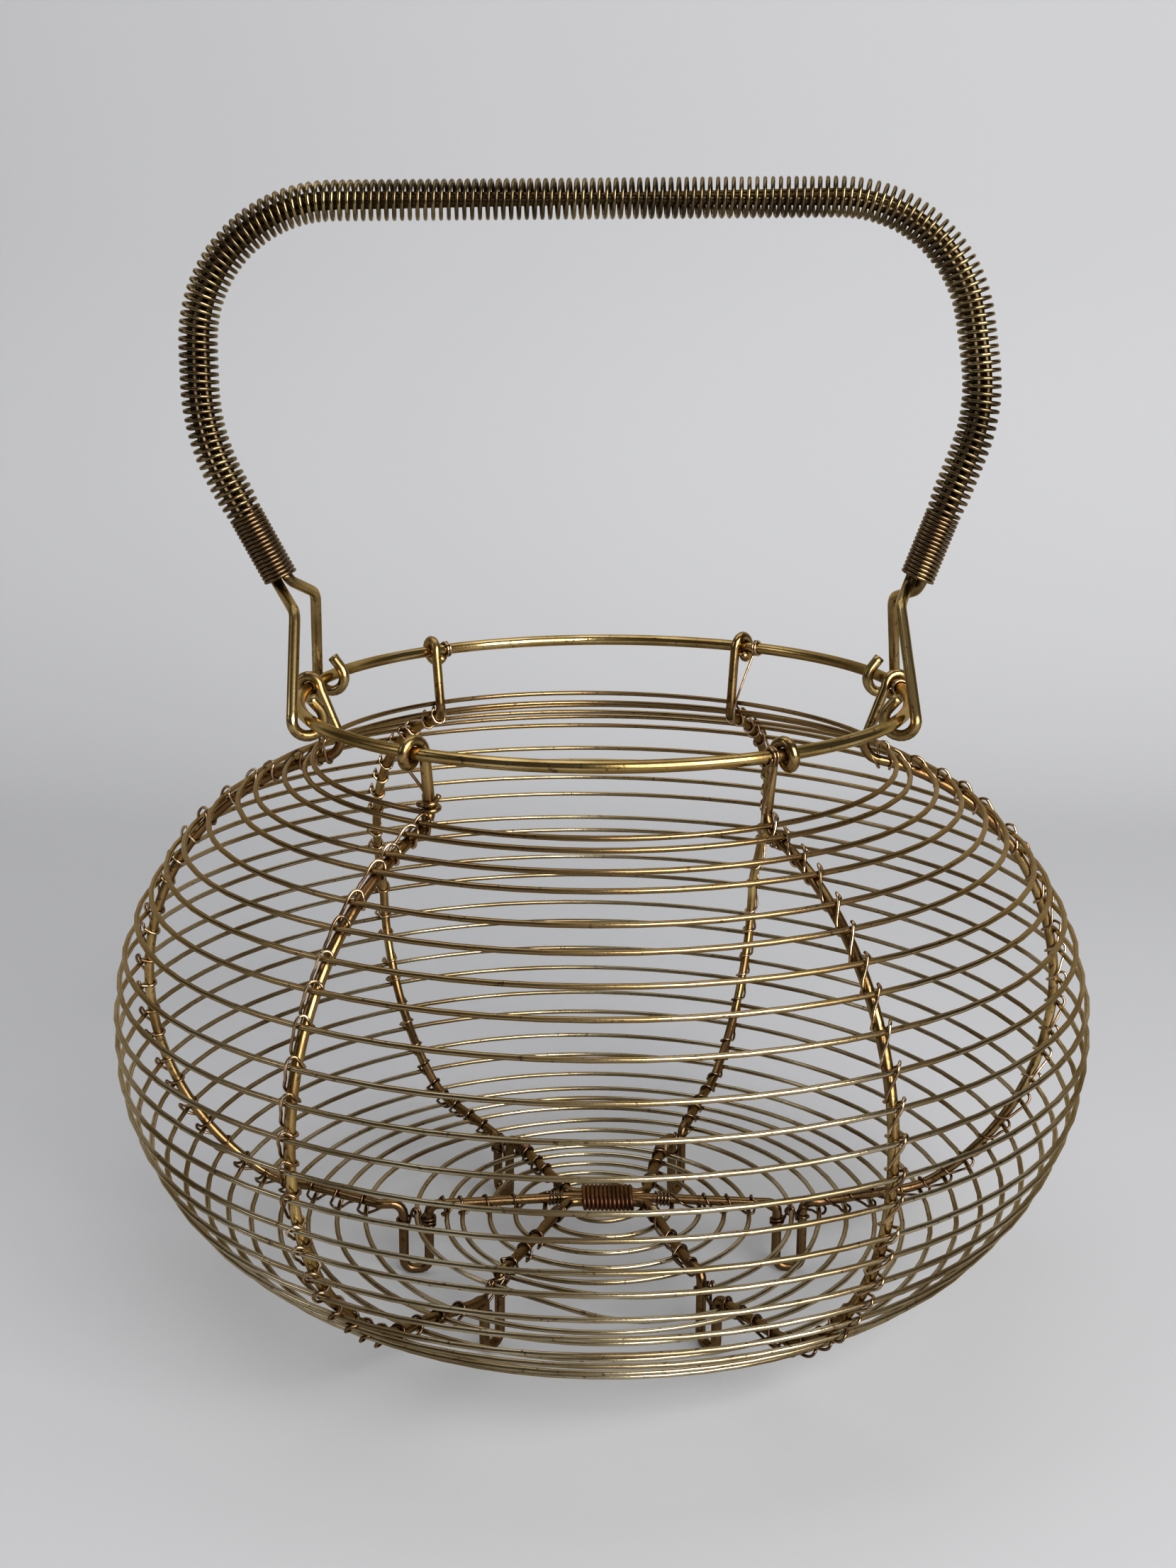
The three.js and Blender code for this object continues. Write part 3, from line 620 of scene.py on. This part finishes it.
def foot_binding(name):
    rib = ribs[name]
    middle = foot_radius + rib["shift"]
    out, side, up = polar(1, rib["foot"], 0), polar(1, rib["foot"] + 90, 0), Vector((0, 0, 1))
    twists = foot_twists.get(name, 1)

    def at(reach, height, aside=0.0):
        lowered = base_sink(rib["sink"], middle + reach, height)
        return out * (middle + reach) + up * (height - lowered) + side * aside

    hoop_height = base_height - hoop_offset
    points = circling(lambda share: at(foot_half, outer_leg_height - 1.5 * share), out, side, touch,
                      200, 1)
    points += circling(lambda share: at(0, hoop_height, -0.5 + 1.4 * share), out, up,
                       (hoop_wire + binding_wire) / 2 + 0.1, 20, 1.2)
    points += circling(
        lambda share: at(-foot_half, inner_leg_height + twist_pitch * twists * share),
        out, side, touch, 30, twists)
    return points


# %% The lead from the rim down to the first crossing
# It hangs free or lies against the stub; each rib has its own way, as pairs of a height above the
# neck and an angle round the stub. At the front left the wire only goes over the rim's inner side.
lead_places = {
    "right": ((3, -110), (0.8, -165)),
    "back_right": ((1.2, -100),),
    "back_left": ((11, -40), (8, -30), (4, -40), (1, -70)),
    "left": ((12, -80), (8, -80), (4, -85), (1, -100)),
    "front_left": ((4.6, -97), (3.2, -92), (1.6, -93)),
}
rim_turn_steps, rim_pitch = 8, 0.98


def binding_lead(name):
    rib = ribs[name]
    steps, way = (3, -1) if name == "front_left" else (18, 1)
    touch_rim = (rim_wire + binding_wire) / 2
    beside = (eye_lead if rib["lead"] < 0 else 0) + touch + 0.2
    points = []
    for step in range(steps, -1, -1):
        turn = -math.pi / 2 + way * 2 * math.pi * step / rim_turn_steps
        angle = rib["eye"] - math.degrees((beside + rim_pitch * step / rim_turn_steps) / rim_radius)
        points.append(polar(rim_radius, angle, rim_level(angle))
                      + polar(math.cos(turn), angle, math.sin(turn)) * touch_rim)
    for height, turn in lead_places.get(name, ()):
        points.append(stub_at(rib, height) + polar(touch, rib["eye"] + turn, 0))
    return points


# %% One binding wire from the rim to the middle of the base
bare_stubs = ("back_left", "back_right", "front_left")  # their first crossing isn't bound
longest_slant, base_looseness = 9.5, 0.3


def binding_line(name):
    points = binding_lead(name)
    found = crossings(name)[1 if name in bare_stubs else 0:]
    for number, (crossing, below) in enumerate(zip(found, found[1:])):
        gap = min((below[1] - crossing[1]).length, longest_slant)
        loose = base_looseness if crossing[0] <= feet_start else 1
        points += binding_turn(crossing, gap, number + ribs[name]["eye"], loose)
        if crossing[0] >= feet_end and below[0] <= feet_start:
            points += foot_binding(name)
            if name.startswith("back"):
                core, up, out, right = below[1:5]
                points += circling(lambda share: core + up * (4.5 - 9 * share), out, right, touch,
                                   -90, 7)
    core, up, out, right = found[-1][1:5]
    points += circling(lambda share: core - up * (1 + 4.5 * share), out, right, touch, 180, 4)
    return flowing(points, 3)


bindings = {name: bend_wire("binding_" + name, binding_line(name), binding_wire, 6)
            for name in ribs}
print("binding wires:", len(bindings))

# %% [markdown]
# ## The handle
# Two wires make the handle. Each starts in a hook under the rim, whose straight tip leans out over
# it, rises, bends at its shoulder and joins the other in the arch, a line with four rounded
# corners. Inside the grip the two turn half round each other: one goes from the arch's outer side
# to its inner side and the other the opposite way. One thicker bar would do inside the grip, but
# both wires show between its open curls.

# %% The arch
arch_foot_height = 219.5
arch_corners = [(-94.6, arch_foot_height), (-117.2, 262), (-117.2, 327.2),
                (98.9, 330.2), (109.3, 271.5), (90.6, arch_foot_height)]
arch_bends = [60, 40, 40, 50]


def arch_line():
    corners = [Vector((out, 0, up)) for out, up in arch_corners]
    line = [corners[0]]
    for index, radius in enumerate(arch_bends):
        line += rounded(corners[index], corners[index + 1], corners[index + 2], radius, 4)
    return line + [corners[-1]]


print("points along the arch:", len(arch_line()))

# %% The two handle wires
# Each leg has its hook's place on the rim, in degrees, and its shoulder's place.
handle_wire, wire_spread = 3.3, 1.7
hook_radius, hook_drop, hook_tip, hook_open = 4.6, 0.3, 4.3, 140
shoulder_bend, arch_foot_bend = 6, 5
legs = {
    "front_left": (202, (-88.7, -18.3, 213.5)),
    "back_left": (161.5, (-88, 18.3, 214)),
    "front_right": (-22, (85.5, -11, 216)),
    "back_right": (17, (87.5, 19, 214)),
}


def leg_line(leg, arch):
    """From the tip of the hook up to the shoulder and into the foot of the arch."""
    angle, shoulder = legs[leg][0], Vector(legs[leg][1])
    hook = arc((rim_radius, rim_level(angle) - hook_drop), hook_radius, hook_open, 360, 8)
    leaning = Vector((math.sin(math.radians(hook_open)), -math.cos(math.radians(hook_open))))
    hook.insert(0, tuple(Vector(hook[0]) + leaning * hook_tip))
    line = [polar(out, angle, up) for out, up in hook]
    line += rounded(line[-1], shoulder, arch[0], shoulder_bend, 8)
    return line + rounded(shoulder, arch[0], arch[1], arch_foot_bend, 8)


def handle_line(left, right, start):
    """start is the wire's side at the arch's left foot: 1 outside and -1 inside. The two wires
    turn half round each other on their way, so each of them ends at the other side."""
    middle = evenly(arch_line(), 2)
    arch = []
    for index, place in enumerate(middle):
        ahead = (middle[min(index + 1, len(middle) - 1)] - middle[max(index - 1, 0)]).normalized()
        turn = math.pi * index / (len(middle) - 1)
        outside, front = Vector((0, 1, 0)).cross(ahead), Vector((0, -1, 0))
        aside = (-outside * math.cos(turn) + front * math.sin(turn)) * start * wire_spread
        arch.append(place + aside)
    return leg_line(left, arch) + arch[1:-1] + leg_line(right, arch[::-1])[::-1]


front_line = evenly(handle_line("front_left", "front_right", 1), bend_spacing)
handle_front = bend_wire("handle_front", front_line, handle_wire, 12)
back_line = evenly(handle_line("back_left", "back_right", -1), bend_spacing)
handle_back = bend_wire("handle_back", back_line, handle_wire, 12)
print("points along the handle wires:", len(front_line), len(back_line))

# %% [markdown]
# ## The grip spring
# One wire is wound round both handle wires: close at the ends and open between, where it is also a
# little wider. Its two ends aren't equal. A screw modifier would wind it only round a straight
# axis, so it is worked out as a helix whose middle line is the arch, with as many curls as match
# the photograph.

# %% The spring
grip_wire, grip_spacing = 1.2, 0.5
close_radius, open_extra, flare_curls = 4.65, 0.5, 3


def grip_line(closed=(17, 16), insets=(1.6, 3.2), opened=168, closed_pitch=1.24, steps=16):
    """closed and insets hold a count of close curls and a bare length for the left and right end."""
    arch = evenly(arch_line(), grip_spacing)
    length = grip_spacing * (len(arch) - 1)
    open_pitch = (length - sum(insets) - sum(closed) * closed_pitch) / opened
    curls = sum(closed) + opened
    line = []
    for step in range(curls * steps + 1):
        curl = step / steps
        end = 0 if curl <= curls / 2 else 1
        from_end = min(curl, curls - curl)
        in_open = from_end - closed[end]
        if in_open <= 0:
            place = from_end * closed_pitch
        else:
            place = closed[end] * closed_pitch + in_open * open_pitch
        place += insets[end]
        place = length - place if end else place
        at = min(max(place / grip_spacing, 1), len(arch) - 2.001)
        core = arch[int(at)].lerp(arch[int(at) + 1], at - int(at))
        ahead = (arch[int(at) + 1] - arch[int(at) - 1]).normalized()
        radius = close_radius + open_extra * ramp(in_open / flare_curls)
        outer = Vector((0, 1, 0)).cross(ahead)
        turn = 2 * math.pi * curl
        line.append(core + (Vector((0, 1, 0)) * math.cos(turn) + outer * math.sin(turn)) * radius)
    print("grip curls:", curls, "open pitch", round(open_pitch, 2))
    return line


grip = bend_wire("grip", grip_line(), grip_wire, 8)

# %% [markdown]
# ## Old brass
# The wire is brass that has been handled for years. It is golden where it is rubbed, grey or
# reddish brown where it isn't, with small dark spots. A picture of brass could be wrapped round
# each wire, but it would show its seams. So all of it is one kind of material: soft patches of
# three tones, small spots, and a roughness that follows the patches, all placed by the object's
# own coordinates, so nothing slides when the basket is seen from elsewhere.

# %% Steps that a finish is built from
def patches(tree, place, size, detail):
    """Soft patches of that size in millimetres, as a value from 0 to 1."""
    pattern = tree.nodes.new("ShaderNodeTexNoise")
    pattern.inputs["Scale"].default_value = 1 / (size * MM)
    pattern.inputs["Detail"].default_value = detail
    tree.links.new(place, pattern.inputs["Vector"])
    return pattern.outputs["Fac"]


def blend(tree, factor, first, second):
    """A mix of two colours, each of them a tone or the result of another step."""
    mix = tree.nodes.new("ShaderNodeMix")
    mix.data_type = "RGBA"
    tree.links.new(factor, mix.inputs["Factor"])
    for value, socket in ((first, mix.inputs["A"]), (second, mix.inputs["B"])):
        if hasattr(value, "is_output"):
            tree.links.new(value, socket)
        else:
            socket.default_value = (*value, 1)
    return mix.outputs["Result"]


def share(tree, value, low, high, start=0.0, end=1.0):
    """Runs from start to end while the value runs from low to high."""
    fit_range = tree.nodes.new("ShaderNodeMapRange")
    names = ("From Min", "From Max", "To Min", "To Max")
    for socket, number in zip(names, (low, high, start, end)):
        fit_range.inputs[socket].default_value = number
    tree.links.new(value, fit_range.inputs["Value"])
    return fit_range.outputs["Result"]


def three_tones(tree, value, tones):
    """A colour that runs through three tones while the value goes from low to high."""
    ramp_node = tree.nodes.new("ShaderNodeValToRGB")
    stops = ramp_node.color_ramp.elements
    stops[0].position, stops[1].position = 0.34, 0.66
    stops.new(0.5)
    for stop, tone in zip(stops, tones):
        stop.color = (*tone, 1)
    tree.links.new(value, ramp_node.inputs["Fac"])
    return ramp_node.outputs["Color"]


# %% A finish of old wire
spot_edge, spot_most = 0.08, 0.75
grain_size, grain_depth, grain_strength = 0.9, 0.06, 0.35


def wire_finish(name, tones, spot_tone, patch_size, spot_size, spot_share, shine, tints=(),
                lacquer=0):
    """tones run from dull to bright, sizes are in millimetres and shine is a pair of roughnesses.
    Each tint is a tone, the heights between which it grows, and its share where it is full.
    lacquer is the share of a clear coat that gives dark wire its pale glints."""
    finish = bpy.data.materials.new(name)
    finish.use_nodes = True
    tree = finish.node_tree
    shader = tree.nodes["Principled BSDF"]
    shader.inputs["Metallic"].default_value = 1
    shader.inputs["Specular Tint"].default_value = (0.8, 0.66, 0.46, 1)
    shader.inputs["Coat Weight"].default_value = lacquer
    shader.inputs["Coat Roughness"].default_value = 0.12
    place = tree.nodes.new("ShaderNodeTexCoord").outputs["Object"]
    broad = patches(tree, place, patch_size, 3)
    colour = three_tones(tree, broad, tones)
    split = tree.nodes.new("ShaderNodeSeparateXYZ")
    tree.links.new(place, split.inputs[0])
    for tone, start, end, most in tints:
        grown = share(tree, split.outputs["Z"], start * MM, end * MM, 0, most)
        colour = blend(tree, grown, colour, tone)
    spots = share(tree, patches(tree, place, spot_size, 2), 1 - spot_share,
                  1 - spot_share + spot_edge, 0, spot_most)
    tree.links.new(blend(tree, spots, colour, spot_tone), shader.inputs["Base Color"])
    tree.links.new(share(tree, broad, 0.35, 0.65, shine[1], shine[0]), shader.inputs["Roughness"])
    bump = tree.nodes.new("ShaderNodeBump")
    bump.inputs["Strength"].default_value = grain_strength
    bump.inputs["Distance"].default_value = grain_depth * MM
    tree.links.new(patches(tree, place, grain_size, 3), bump.inputs["Height"])
    tree.links.new(bump.outputs["Normal"], shader.inputs["Normal"])
    return finish


# %% The finishes of the basket's wires
# Low down the ribs and bindings are dark brown; ribs and hoops are reddish brown by the neck. The
# handle wires are dark inside the grip: that tint is painted shade, where the spring's curls shade
# them. A tint's first height may be above its second: then it grows downwards.
dark_spot = (0.05, 0.025, 0.012)
rim_brass = wire_finish(
    "rim_brass", [(0.20, 0.125, 0.042), (0.33, 0.22, 0.078), (0.50, 0.36, 0.155)],
    dark_spot, 22, 1.6, 0.36, (0.14, 0.28))
rib_brass = wire_finish(
    "rib_brass", [(0.15, 0.085, 0.03), (0.28, 0.18, 0.066), (0.45, 0.32, 0.13)],
    dark_spot, 14, 1.8, 0.40, (0.18, 0.34),
    [((0.10, 0.055, 0.025), 75, 26, 0.85), ((0.12, 0.06, 0.024), 105, 150, 0.75),
     ((0.33, 0.22, 0.085), 169, 178, 0.75)])
hoop_brass = wire_finish(
    "hoop_brass", [(0.15, 0.105, 0.053), (0.26, 0.202, 0.115), (0.41, 0.345, 0.23)],
    dark_spot, 30, 1.5, 0.37, (0.17, 0.32),
    [((0.27, 0.175, 0.07), 95, 135, 0.7), ((0.17, 0.095, 0.036), 135, 168, 0.6)])
winding_copper = wire_finish(
    "winding_copper", [(0.045, 0.018, 0.01), (0.09, 0.037, 0.019), (0.16, 0.07, 0.035)],
    dark_spot, 6, 1.2, 0.4, (0.34, 0.52))
binding_copper = wire_finish(
    "binding_copper", [(0.16, 0.09, 0.045), (0.34, 0.225, 0.12), (0.60, 0.46, 0.30)],
    dark_spot, 9, 0.9, 0.38, (0.14, 0.28), [((0.06, 0.032, 0.017), 65, 28, 0.85)])
# The handle's last tint is painted shade on its wires inside the grip spring.
handle_brass = wire_finish(
    "handle_brass", [(0.17, 0.11, 0.042), (0.29, 0.20, 0.08), (0.45, 0.335, 0.15)],
    dark_spot, 18, 1.6, 0.38, (0.20, 0.34), [((0.042, 0.028, 0.015), 216, 223, 0.97)])
grip_bronze = wire_finish(
    "grip_bronze", [(0.05, 0.032, 0.013), (0.11, 0.074, 0.031), (0.26, 0.19, 0.085)],
    dark_spot, 24, 1.2, 0.36, (0.20, 0.32), [((0.12, 0.066, 0.03), 262, 240, 0.5)], 0.25)
print("finishes:", len(bpy.data.materials))

# %% Each piece in the place of its node
fit(rim, "basket", ["rim_ring"], rim_brass)
for node, piece in rib_pieces.items():
    fit(piece, "basket", [node], rib_brass)
hoop_nodes = ["hoop_wire_base", "hoop_wire_bowl", "hoop_wire_low_belly", "hoop_wire_high_belly",
              "hoop_wire_shoulder", "hoop_wire_neck"]
fit(hoops, "basket", hoop_nodes, hoop_brass)
fit(winding, "basket", ["base_winding"], winding_copper)
for name, piece in bindings.items():
    fit(piece, "basket", ["binding_wire_" + name], binding_copper)
fit(handle_front, "handle", ["handle_wire_front"], handle_brass)
fit(handle_back, "handle", ["handle_wire_back"], handle_brass)
fit(grip, "handle", ["grip_spring"], grip_bronze)

# %% [markdown]
# ## Floor and backdrop
# The basket stands on a plain pale floor in front of a plain pale backdrop. Two flat sheets would
# meet in an edge. One sheet that lies flat and then sweeps up behind gives both without it. Its
# back is clear, so that it doesn't hide the basket from behind.

# %% The sheet, in metres
sheet_size, sheet_front = 3.2, 0.8
sweep_start, sweep_radius = 0.55, 0.35


def backdrop():
    sheet = bmesh.new()
    bmesh.ops.create_grid(sheet, x_segments=1, y_segments=60, size=0.5)
    for corner in sheet.verts:
        run = (corner.co.y + 0.5) * sheet_size - sheet_front
        past = run - sweep_start
        turn = min(max(past, 0) / sweep_radius, math.pi / 2)
        rise = max(past - sweep_radius * math.pi / 2, 0)
        corner.co = Vector((corner.co.x * sheet_size,
                            min(run, sweep_start) + sweep_radius * math.sin(turn),
                            sweep_radius * (1 - math.cos(turn)) + rise))
    for face in sheet.faces:
        face.smooth = True
    return as_object("backdrop", sheet)


floor = backdrop()
print("backdrop faces:", len(floor.data.polygons))

# %% Pale paper, clear from behind
paper = bpy.data.materials.new("pale_paper")
paper.use_nodes = True
paper_nodes, paper_links = paper.node_tree.nodes, paper.node_tree.links
paper_shader = paper_nodes["Principled BSDF"]
paper_shader.inputs["Base Color"].default_value = (0.44, 0.444, 0.46, 1)
paper_shader.inputs["Roughness"].default_value = 0.8
paper_sides = paper_nodes.new("ShaderNodeMixShader")
from_behind = paper_nodes.new("ShaderNodeNewGeometry").outputs["Backfacing"]
clear = paper_nodes.new("ShaderNodeBsdfTransparent")
paper_links.new(from_behind, paper_sides.inputs[0])
paper_links.new(paper_shader.outputs["BSDF"], paper_sides.inputs[1])
paper_links.new(clear.outputs["BSDF"], paper_sides.inputs[2])
paper_links.new(paper_sides.outputs["Shader"], paper_nodes["Material Output"].inputs["Surface"])
floor.data.materials.append(paper)
print("paper nodes:", len(paper_nodes))

# %% [markdown]
# ## Light
# Brass shows what stands round it, and on the real basket each wire has one bright line and is
# dark beside it. Even light from all sides would lose that. So one wide panel in front and to the
# right draws the bright lines, two weaker ones are at the left and above, and the world round them
# is dark for everything but the camera, which sees it as pale as the backdrop.

# %% Soft panels
def panel(name, place, aim, size, power, tone=(1, 1, 1)):
    lamp = bpy.data.lights.new(name, "AREA")
    lamp.shape = "RECTANGLE"
    lamp.size, lamp.size_y = size
    lamp.energy = power
    lamp.color = tone
    holder = bpy.data.objects.new(name, lamp)
    holder.location = place
    holder.rotation_euler = (Vector(aim) - Vector(place)).to_track_quat("-Z", "Y").to_euler()
    bpy.context.scene.collection.objects.link(holder)


panel("window", (0.86, -1.42, 0.82), (0, 0, 0.12), (1.35, 1.2), 70, (1, 0.99, 0.97))
panel("left_side", (-1.6, -0.3, 0.9), (0, 0, 0.15), (0.5, 0.8), 2.5)
panel("above", (-0.1, 0.35, 1.9), (0, 0, 0.1), (2.2, 1.6), 17)
print("lamps:", len(bpy.data.lights))

# %% The world round the basket
dark_tone, pale_tone = (0.07, 0.07, 0.075, 1), (0.47, 0.475, 0.49, 1)
world = bpy.data.worlds.new("room")
world.use_nodes = True
room = world.node_tree
tones = room.nodes.new("ShaderNodeMix")
tones.data_type = "RGBA"
tones.inputs["A"].default_value = dark_tone
tones.inputs["B"].default_value = pale_tone
seen_by_camera = room.nodes.new("ShaderNodeLightPath").outputs["Is Camera Ray"]
room.links.new(seen_by_camera, tones.inputs["Factor"])
room.links.new(tones.outputs["Result"], room.nodes["Background"].inputs["Color"])
bpy.context.scene.world = world
print("world nodes:", len(room.nodes))

# %% [markdown]
# ## Camera and colours
# The camera has the photograph's viewpoint: 58 cm in front of the basket's axis and 30 cm above
# the floor, looking down by nearly 14 degrees. It could be moved by eye until the outlines agree.
# Numbers are used, because they were fitted to the rim's ellipse, the hoops and the feet.

# %% The camera
def aim_camera(place, down, aside, roll, lens):
    """Angles are in radians: how far the view points down, to the left, and leans over."""
    ahead = Vector((math.sin(aside) * math.cos(down), math.cos(aside) * math.cos(down),
                    -math.sin(down)))
    level = Vector((math.cos(aside), -math.sin(aside), 0))
    upright = level.cross(ahead)
    right = level * math.cos(roll) + upright * math.sin(roll)
    up = upright * math.cos(roll) - level * math.sin(roll)
    camera = bpy.data.objects.new("camera", bpy.data.cameras.new("camera"))
    camera.data.sensor_fit = "HORIZONTAL"
    camera.data.sensor_width = 36
    camera.data.lens = lens
    camera.data.clip_start = 0.02
    turn = Matrix((right, up, -ahead)).transposed().to_4x4()
    camera.matrix_world = Matrix.Translation(place) @ turn
    bpy.context.scene.collection.objects.link(camera)
    bpy.context.scene.camera = camera


camera_place = (0, -0.5814, 0.3011)
camera_down, camera_aside, camera_roll, camera_lens = 0.2393, -0.0078, 0.0073, 60.76
aim_camera(camera_place, camera_down, camera_aside, camera_roll, camera_lens)
bpy.context.scene.view_settings.view_transform = "Standard"
print("the camera looks down by", round(math.degrees(camera_down), 1), "degrees")
